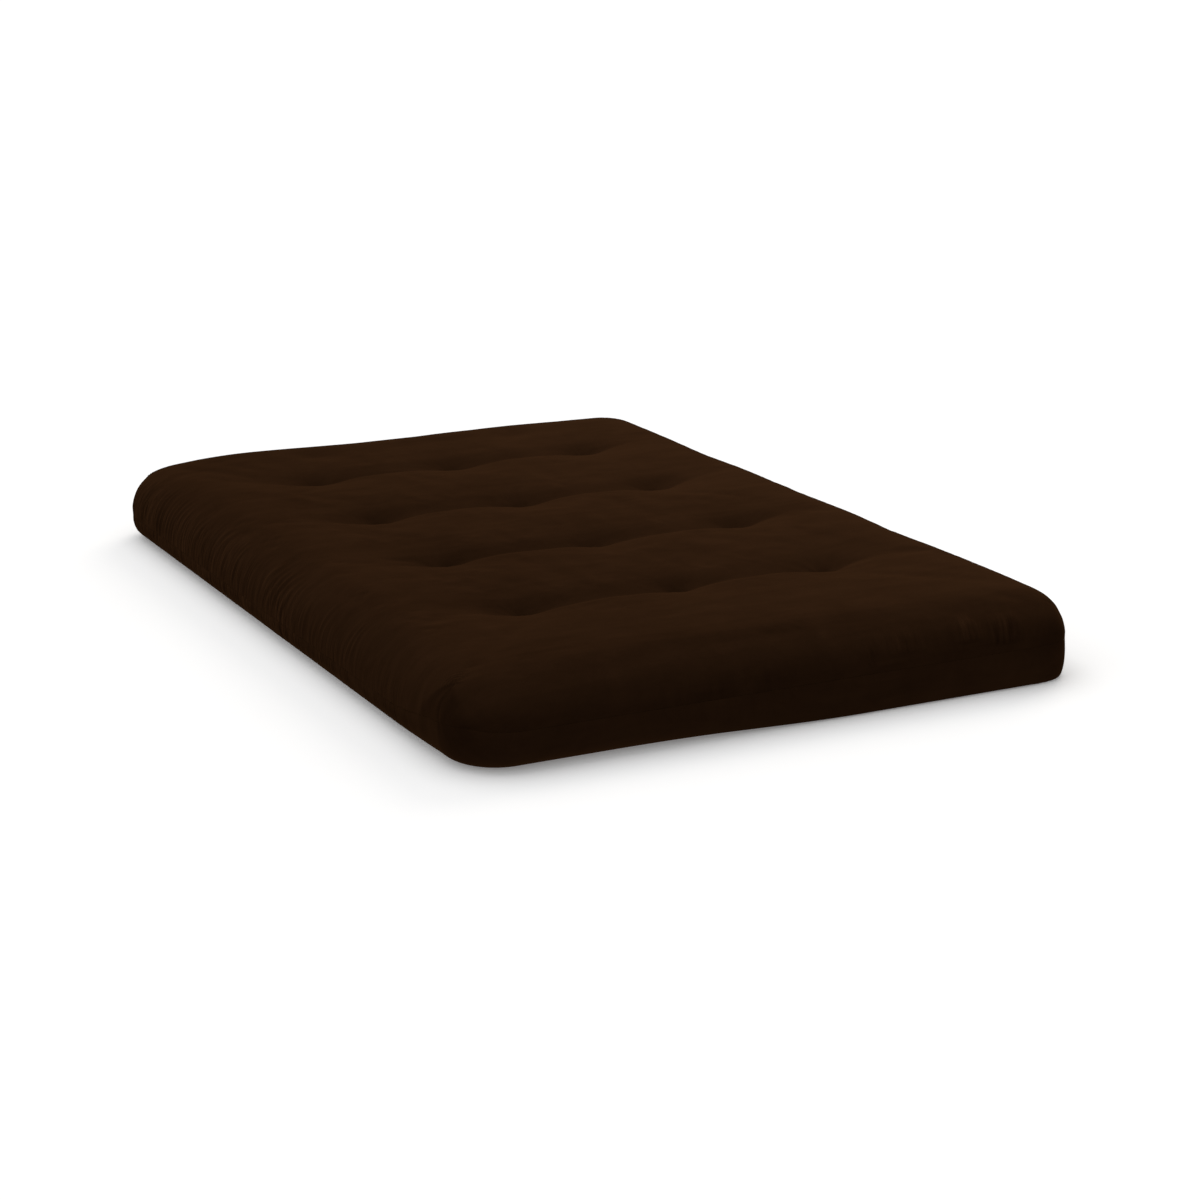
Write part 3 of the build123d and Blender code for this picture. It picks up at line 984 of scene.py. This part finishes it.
def plySlab(name, slot, low, high, inset):
    # a ply between two levels: it follows the form where that is nearer, and both faces dip at the tufts
    x, y, fromEdge = planGrid(inset, stuffing["slabLines"])
    rough = stuffing["rough"] * layeredNoise(x / 0.018 + 7, y / 0.018 + len(name), 21, 3)
    top = np.minimum(formHeight(x, y, fromEdge, outerSkin, 1), dippedLevel(high, x, y) if high else 9)
    bottom = np.maximum(formHeight(x, y, fromEdge, outerSkin, -1), dippedLevel(low, x, y) if low else -9)
    if not high:
        top = top + rough - stuffing["rough"]
    if not low:
        bottom = bottom + rough + stuffing["rough"]
    thin = np.maximum(stuffing["thinnest"] - (top - bottom), 0)
    top, bottom = (top, bottom - thin) if high is None else (top + thin, bottom)
    cloth = np.stack([x, y, np.full_like(x, middle)], -1)
    upper, lower = (np.stack([x - drawnIn(x, y, z), y, z], -1) for z in (top, bottom))
    ply = closedShell(name, upper, lower, [], cloth, 1)
    return crossFold(ply, slot, name)


def feltPan(name, side):
    # the fire barrier: a felt wall that follows the pan, from just short of the seam's allowance
    s = stuffing
    halves = [h - casePans["cornerRadius"] + clothReach[side] * 0.965 for h in (halfWidth, halfLength)]
    lines = [np.linspace(-h, h, n) for h, n in zip(halves, s["feltLines"])]
    gx, gy, fromSeam, surface = drapedPan(*lines, side)
    normal = gridNormals(surface, side)
    nap = 0.0004 * layeredNoise(gx / 0.012, gy / 0.012, 43, 2)
    nearest = np.min([np.hypot(gx - tx, gy - ty) for tx, ty in tufts], axis=0)
    skin = s["feltUnder"] + s["feltSink"] * hill(nearest / s["sinkReach"])
    outer = surface - normal * (skin + nap)[..., None]
    inner = (surface - normal * (skin + s["felt"])[..., None])[::3, ::3]
    cloth = np.stack([gx, gy, np.full_like(gx, side * 0.4)], -1)
    felt = closedShell(name, outer, inner, [], cloth, side)
    return crossFold(felt, "felt_barrier", name)


plies = {
    "barrier_top": feltPan("barrier_top", 1),
    "barrier_bottom": feltPan("barrier_bottom", -1),
}
coreTop, coreBottom = foamHigh.z, foamLow.z
halfGap, pad = stuffing["gap"] / 2, stuffing["pad"]
padTop, padBottom = coreTop + halfGap, coreBottom - halfGap
cottonTop, cottonBottom = padTop + pad + halfGap, padBottom - pad - halfGap
foamInset, cottonIn, padIn = stuffing["foamInset"], stuffing["cottonIn"], stuffing["padIn"]
for name, slot, low, high, inset in (
    ("cotton_top", "cotton_batting", cottonTop, None, insetAt(cottonTop, 1) + cottonIn),
    ("pad_top", "polyester_pad", padTop, padTop + pad, insetAt(padTop + 2 * padIn, 1) + padIn),
    ("foam_core", "foam", coreBottom, coreTop, foamInset),
    ("pad_bottom", "polyester_pad", padBottom - pad, padBottom, insetAt(padBottom - 2 * padIn, -1) + padIn),
    ("cotton_bottom", "cotton_batting", None, cottonBottom, insetAt(cottonBottom, -1) + cottonIn),
):
    plies[name] = plySlab(name, slot, low, high, inset)

rollShape = {
    "turns": 900,            # sections round the path, and points round each
    "around": 40,
    "clear": 0.001,
    "power": 0.45,
    "groove": 0.0085,
    "grooveHalf": 0.0055,
    "lump": 0.0012,
}


def edgeRoll():
    # a soft roll between the foam and the side: a rounded oblong section, cos^p by sin^p, carried round the
    # rounded path, with the seam allowance's groove pressed into its outer face
    r = rollShape
    wall = foamInset - outerSkin - 2 * r["clear"]
    tall = (coreTop - coreBottom) / 2 - r["clear"]
    x, y, heading, total = roundedPath(outerSkin + r["clear"] + wall / 2, r["turns"])
    turn = np.arange(r["turns"])[:, None]
    angle = np.arange(r["around"]) / r["around"] * 2 * np.pi
    c, s = np.cos(angle), np.sin(angle)
    wide = np.sign(c) * np.abs(c) ** r["power"] * wall / 2
    z = (coreTop + coreBottom) / 2 + np.sign(s) * np.abs(s) ** r["power"] * tall
    groove = np.clip(1 - np.abs(z - seamHeight) / r["grooveHalf"], 0, 1) ** 0.5 * (c > 0.5) * r["groove"]
    lump = r["lump"] * (layeredNoise(turn / 9, angle[None] * 1.5, 47, 2) - 1)
    out = wide - groove + lump * np.sign(c)
    px = x[:, None] + np.sin(heading)[:, None] * out
    py = y[:, None] - np.cos(heading)[:, None] * out
    points = np.stack([px - drawnIn(px, py, z), py, np.broadcast_to(z, px.shape)], -1)
    flat = (turn * total / r["turns"], angle * 0.03, 0.0)
    cloth = np.stack([np.broadcast_to(value, px.shape) for value in flat], -1)
    faces = tubeFaces(0, r["turns"], r["around"], True)
    roll = putMesh("edge_roll", points.reshape(-1, 3), faces, cloth.reshape(-1, 3))
    return crossFold(roll, "cotton_batting", "edge_roll")


plies["edge_roll"] = edgeRoll()
print("stuffed")

# Tufting twine and its knots

twineLay = {
    "strands": 3,
    "radius": 0.0016,
    "layShare": 0.5,         # radius of a strand's helix, and of the strand, as shares of the twine's
    "strandShare": 0.54,
    "pitch": 0.010,
    "over": 0.001,           # how far the twine runs on into its knots
    "steps": 66,
    "sides": 8,
}
knotShape = {
    "radius": 0.0031,
    "rise": 0.0019,
    "tube": 0.0015,
    "sink": 0.0005,
    "turn": 0.7,             # from one knot to the next
    "steps": 72,
    "sides": 8,
}


def turnedTwine(x, y, low, high):
    # three strands laid together: each a helix of the twine's pitch, half the twine's radius out
    t = twineLay
    z = np.linspace(low, high, t["steps"])
    blocks, groups, first = [], [], 0
    for strand in range(t["strands"]):
        angle = 2 * np.pi * (z / t["pitch"] + strand / t["strands"])
        out = t["radius"] * t["layShare"]
        path = np.stack([x + out * np.cos(angle), y + out * np.sin(angle), z], -1)
        tube = tubeRings(path, t["radius"] * t["strandShare"], t["sides"], False)
        blocks.append(tube.reshape(-1, 3))
        groups += tubeFaces(first, len(path), t["sides"], False)
        first += t["steps"] * t["sides"]
    return np.concatenate(blocks), groups


def trefoilKnot(x, y, z, turn):
    # a tube along the trefoil ((2 + cos 3a) cos 2a, (2 + cos 3a) sin 2a, sin 3a)
    k = knotShape
    a = np.arange(k["steps"]) / k["steps"] * 2 * np.pi
    out, around = k["radius"] / 3 * (2 + np.cos(3 * a)), 2 * a + turn
    rise = k["rise"] * np.sin(3 * a)
    path = np.stack([x + out * np.cos(around), y + out * np.sin(around), z + rise], -1)
    return tubeRings(path, k["tube"], k["sides"], True).reshape(-1, 3)


twines = []


def putTuft(name, section, points, faces):
    # a rigid piece of the tufting, which stands for the node of its own name
    piece = putMesh(name, points, faces)
    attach(piece, section)
    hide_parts(name)
    twines.append(piece)


for column in (1, 2, 3):
    section = "seat_section" if column == 1 else "back_section"
    for row in range(1, tuftRows + 1):
        x, y = tufts[(column - 1) * tuftRows + row - 1]
        strands = turnedTwine(x, y, tuftFloorBottom - twineLay["over"], tuftFloorTop + twineLay["over"])
        putTuft(f"tuft_twine_c{column}_r{row}", section, *strands)
for stem, section in (("seat", "seat_section"), ("back", "back_section")):
    own = tufts[:tuftRows] if stem == "seat" else tufts[tuftRows:]
    upper, lower = tuftFloorTop - knotShape["sink"], tuftFloorBottom + knotShape["sink"]
    for level, height in (("upper", upper), ("lower", lower)):
        steps, sides = knotShape["steps"], knotShape["sides"]
        blocks = [trefoilKnot(x, y, height, knotShape["turn"] * n) for n, (x, y) in enumerate(own)]
        faces = [tubeFaces(n * steps * sides, steps, sides, True)[0] for n in range(len(own))]
        putTuft(f"{stem}_{level}_knots", section, np.concatenate(blocks), faces)
print("tufted")

# Finishes


class Wire:
    # a value inside a material's nodes, so that maths on it reads as a plain expression

    def __init__(self, finish, socket):
        self.finish, self.socket = finish, socket

    def combine(self, operation, a, b):
        return self.finish.node("ShaderNodeMath", {"operation": operation}, {0: a, 1: b})

    def __add__(self, other):
        return self.combine("ADD", self, other)

    def __sub__(self, other):
        return self.combine("SUBTRACT", self, other)

    def __rsub__(self, other):
        return self.combine("SUBTRACT", other, self)

    def __mul__(self, other):
        return self.combine("MULTIPLY", self, other)

    def __rmul__(self, other):
        return self.combine("MULTIPLY", other, self)


class Finish:
    # one material: a Principled shader and whatever feeds it

    def __init__(self, name, roughness, sheen=0.0, sheenTint=(1, 1, 1, 1), specular=0.0):
        self.material = bpy.data.materials.new(name)
        self.material.use_nodes = True
        self.tree = self.material.node_tree
        self.shader = self.tree.nodes["Principled BSDF"]
        self.shader.inputs["Roughness"].default_value = roughness
        self.shader.inputs["Specular IOR Level"].default_value = specular
        self.shader.inputs["Sheen Weight"].default_value = sheen
        self.shader.inputs["Sheen Roughness"].default_value = 0.4
        self.shader.inputs["Sheen Tint"].default_value = sheenTint

    def node(self, kind, settings=None, inputs=None, output=0):
        made = self.tree.nodes.new(kind)
        for key, value in (settings or {}).items():
            if key == "stops":
                while len(made.color_ramp.elements) < len(value):
                    made.color_ramp.elements.new(0.5)
                for element, (place, colour) in zip(made.color_ramp.elements, value):
                    element.position, element.color = place, (*colour, 1)
            else:
                setattr(made, key, value)
        for key, value in (inputs or {}).items():
            self.feed(made.inputs[key], value)
        return Wire(self, made.outputs[output])

    def feed(self, socket, value):
        if isinstance(value, Wire):
            self.tree.links.new(value.socket, socket)
        else:
            socket.default_value = value

    def wear(self, colour, normal):
        self.feed(self.shader.inputs["Base Color"], colour)
        self.feed(self.shader.inputs["Normal"], normal)

    def carried(self, name, output="Fac"):
        # a value that each point of the mesh carries
        return self.node("ShaderNodeAttribute", {"attribute_name": name}, output=output)

    def clothPlace(self):
        return self.carried("clothPlace", "Vector")

    def ownPlace(self):
        return self.node("ShaderNodeTexCoord", output="Object")

    def noise(self, place, scale, stretch, detail, roughness, distortion=0.0):
        scaled = self.node("ShaderNodeMapping", None, {"Vector": place, "Scale": stretch})
        return self.node("ShaderNodeTexNoise", None, {
            "Vector": scaled, "Scale": scale, "Detail": detail,
            "Roughness": roughness, "Distortion": distortion,
        })

    def ramp(self, value, stops):
        return self.node("ShaderNodeValToRGB", {"stops": stops}, {0: value})

    def mix(self, factor, a, b):
        return self.node("ShaderNodeMix", {"data_type": "RGBA"}, {0: factor, 6: a, 7: b}, 2)

    def atLeast(self, value, least):
        return self.node("ShaderNodeMath", {"operation": "MAXIMUM"}, {0: value, 1: least})

    def bump(self, height, distance, strength=1.0, under=None):
        inputs = {"Height": height, "Distance": distance, "Strength": strength}
        return self.node("ShaderNodeBump", None, inputs if under is None else {**inputs, "Normal": under})


def times(colour, share):
    return tuple(c * share for c in colour)


def dress(finish, pieces):
    for piece in pieces:
        piece.data.materials.append(finish.material)


microfibre = {
    "colour": (0.0192, 0.0085, 0.0037),
    "pale": 1.42,            # pale end of the colour ramp, reached by the pile's random mottle and by painted light
    "deep": 0.58,
    "contrast": 1.40,
    "mottle": 9,             # noise cells in a metre, from here down to strand
    "streak": 20,
    "blotch": 34,
    "nap": 140,
    "grain": 420,
    "strand": 75,            # the fine gathers, then their rise, and how much painted shade and highlight they lay into the colour
    "strandRise": 0.0075,
    "strandMean": 0.48,
    "strandTone": 1.1,
    "strandToneEnd": 2.2,
}


def caseFinish():
    m = microfibre
    f = Finish("brushed_microfibre", 0.86, sheen=0.045, sheenTint=(1, 0.42, 0.16, 1))
    place = f.clothPlace()
    broad = f.noise(place, m["mottle"], (1, 1, 1), 4, 0.55, 0.6)
    brushed = f.noise(place, m["streak"], (0.16, 1, 1), 4, 0.6, 0.5)
    blotch = f.noise(place, m["blotch"], (0.7, 1, 1), 3, 0.6, 1.2)
    grain = f.noise(place, m["grain"], (0.7, 1, 1), 2, 0.6)
    shade = broad * 0.32 + brushed * 0.38 + blotch * 0.18 + grain * 0.12
    shade = (shade - 0.5) * m["contrast"] + 0.5
    # painted light and shade carried on each point, and where the fine strands lie
    paintedTone, gathered = f.carried("napTone"), f.carried("strands")
    sideways, endways = f.atLeast(gathered, 0), f.atLeast(0 - gathered, 0)
    upSide = f.noise(place, m["strand"], (0.13, 1, 1), 3, 0.6, 0.35) * sideways
    upEnd = f.noise(place, m["strand"], (1, 0.13, 1), 3, 0.6, 0.35) * endways
    # painted shade in the strands' hollows and painted highlight on their crests, laid into the colour
    paintedStrandShade = (upSide - m["strandMean"] * sideways) * m["strandTone"]
    paintedStrandShade = paintedStrandShade + (upEnd - m["strandMean"] * endways) * m["strandToneEnd"]
    colour = f.ramp(shade + paintedTone + paintedStrandShade, [
        (0.10, times(m["colour"], m["deep"])),
        (0.50, m["colour"]),
        (0.90, times(m["colour"], m["pale"])),
    ])
    f.feed(f.shader.inputs["Roughness"], 0.98 - shade * 0.24)
    nap = grain * 0.6 + f.noise(place, m["nap"], (0.5, 1, 1), 2, 0.5) * 0.4
    pile = f.bump(nap, 0.0005, 0.55)
    f.wear(colour, f.bump(upSide + upEnd, m["strandRise"], 1.0, pile))
    return f


def threadFinish():
    f = Finish("polyester_thread", 0.45, specular=0.3)
    place = f.ownPlace()
    twist = f.noise(place, 900, (1, 1, 2.2), 2, 0.5)
    colour = f.ramp(twist, [(0.3, (0.010, 0.0045, 0.002)), (0.7, (0.024, 0.0115, 0.0055))])
    f.wear(colour, f.bump(twist, 0.0002, 0.5))
    return f


def fibreFinish(name, pale, deep, fleck, scale, roughness=0.95):
    # matted fibres: long stretched noises laid two ways, with flecks of husk or darker fibre
    f = Finish(name, roughness, sheen=0.12)
    place = f.clothPlace()
    one = f.noise(place, scale, (1, 0.16, 1), 5, 0.65, 1.6)
    two = f.noise(place, scale, (0.16, 1, 1), 5, 0.65, 1.6)
    clump = f.noise(place, scale * 0.06, (1, 1, 1), 3, 0.5)
    fibre = one * 0.35 + two * 0.35 + clump * 0.30
    spot = f.noise(place, scale * 0.9, (1, 1, 1), 1, 0.5)
    flecked = f.ramp(spot, [(0.70, (0, 0, 0)), (0.78, (1, 1, 1))])
    matted = f.ramp(fibre, [(0.3, deep), (0.7, pale)])
    f.wear(f.mix(flecked, matted, (*fleck, 1)), f.bump(fibre, 0.0016, 0.8))
    return f


def foamFinish():
    # open cells: the distance to a cell's edge makes the struts
    f = Finish("open_cell_foam", 0.8)
    place = f.ownPlace()
    edges = {"feature": "DISTANCE_TO_EDGE"}
    cells = f.node("ShaderNodeTexVoronoi", edges, {"Vector": place, "Scale": 650.0})
    tone = f.noise(place, 7, (1, 1, 1), 3, 0.5)
    fresh = f.ramp(cells, [(0.02, (0.86, 0.80, 0.58)), (0.20, (0.62, 0.54, 0.34))])
    aged = f.ramp(cells, [(0.02, (0.80, 0.72, 0.49)), (0.20, (0.55, 0.47, 0.28))])
    f.wear(f.mix(tone, fresh, aged), f.bump(cells, 0.0008, 0.7))
    return f


def twineFinish():
    f = Finish("waxed_twine", 0.7, specular=0.08)
    fibre = f.noise(f.ownPlace(), 700, (1, 1, 0.3), 3, 0.6)
    colour = f.ramp(fibre, [(0.3, (0.016, 0.009, 0.005)), (0.7, (0.040, 0.024, 0.013))])
    f.wear(colour, f.bump(fibre, 0.0002, 0.6))
    return f


dress(caseFinish(), pans.values())
dress(threadFinish(), [seam])
dress(
    fibreFinish("needled_felt", (0.80, 0.79, 0.75), (0.60, 0.59, 0.56), (0.25, 0.27, 0.33), 260),
    [plies["barrier_top"], plies["barrier_bottom"]],
)
dress(
    fibreFinish("cotton_batting", (0.86, 0.83, 0.74), (0.66, 0.62, 0.52), (0.33, 0.24, 0.13), 150),
    [plies["cotton_top"], plies["cotton_bottom"], plies["edge_roll"]],
)
dress(
    fibreFinish("polyester_fibre", (0.90, 0.91, 0.92), (0.74, 0.75, 0.77), (0.80, 0.82, 0.85), 210, 0.75),
    [plies["pad_top"], plies["pad_bottom"]],
)
dress(foamFinish(), [plies["foam_core"]])
dress(twineFinish(), twines)
print("finished")

# Floor, lights and camera

studio = {
    "floorDrop": 0.0012,
    "floorTone": 0.92,
    "floorLift": 0.18,
    "floorHalf": 300,
    "sky": 0.42,
    "suns": (                # azimuth, elevation, strength, angle across, colour
        ("overhead", 180, 70, 1.10, 60, (1, 1, 1)),
        ("rear_right", 130, 28, 0.8, 30, (1, 0.93, 0.85)),
        ("left_fill", -92, 42, 0.44, 60, (1, 1, 1)),
    ),
    "lens": 80.2,
    "sensor": 36,
    "cameraPlace": (-2.366, -4.823, 1.551),
    "cameraAim": (-0.0625, -0.312, 0.08),
}


def studioFloor():
    half, drop = studio["floorHalf"], -studio["floorDrop"]
    mesh = bpy.data.meshes.new("floor")
    corners = [(-half, -half, drop), (half, -half, drop), (half, half, drop), (-half, half, drop)]
    mesh.from_pydata(corners, [], [(0, 1, 2, 3)])
    floor = bpy.data.objects.new("floor", mesh)
    bpy.context.scene.collection.objects.link(floor)
    paper = Finish("studio_paper", 0.9)
    tone = paper.noise(paper.ownPlace(), 3, (1, 1, 1), 2, 0.5)
    pale = (studio["floorTone"],) * 3
    paper.feed(paper.shader.inputs["Base Color"], paper.ramp(tone, [(0, times(pale, 0.99)), (1, pale)]))
    paper.shader.inputs["Emission Color"].default_value = (1, 1, 1, 1)
    paper.shader.inputs["Emission Strength"].default_value = studio["floorLift"]
    mesh.materials.append(paper.material)
    floor.visible_diffuse = False


def sunLamp(name, azimuth, elevation, strength, angle, colour):
    # azimuth turns from the near side towards +X
    light = bpy.data.lights.new(name, "SUN")
    light.energy = strength
    light.angle = math.radians(angle)
    light.color = colour
    lamp = bpy.data.objects.new(name, light)
    a, e = math.radians(azimuth), math.radians(elevation)
    toLamp = Vector((math.sin(a) * math.cos(e), -math.cos(a) * math.cos(e), math.sin(e)))
    lamp.rotation_mode = "QUATERNION"
    lamp.rotation_quaternion = toLamp.to_track_quat("Z", "Y")
    bpy.context.scene.collection.objects.link(lamp)


studioFloor()
world = bpy.data.worlds.new("studio")
bpy.context.scene.world = world
world.use_nodes = True
world.node_tree.nodes["Background"].inputs["Color"].default_value = (1, 1, 1, 1)
world.node_tree.nodes["Background"].inputs["Strength"].default_value = studio["sky"]
for sun in studio["suns"]:
    sunLamp(*sun)

camera = bpy.data.cameras.new("camera")
camera.lens = studio["lens"]
camera.sensor_width = studio["sensor"]
cameraObject = bpy.data.objects.new("camera", camera)
bpy.context.scene.collection.objects.link(cameraObject)
cameraPlace, cameraAim = Vector(studio["cameraPlace"]), Vector(studio["cameraAim"])
cameraObject.location = cameraPlace
cameraObject.rotation_mode = "QUATERNION"
cameraObject.rotation_quaternion = (cameraAim - cameraPlace).to_track_quat("-Z", "Y")
bpy.context.scene.camera = cameraObject
bpy.context.scene.view_settings.view_transform = "Standard"
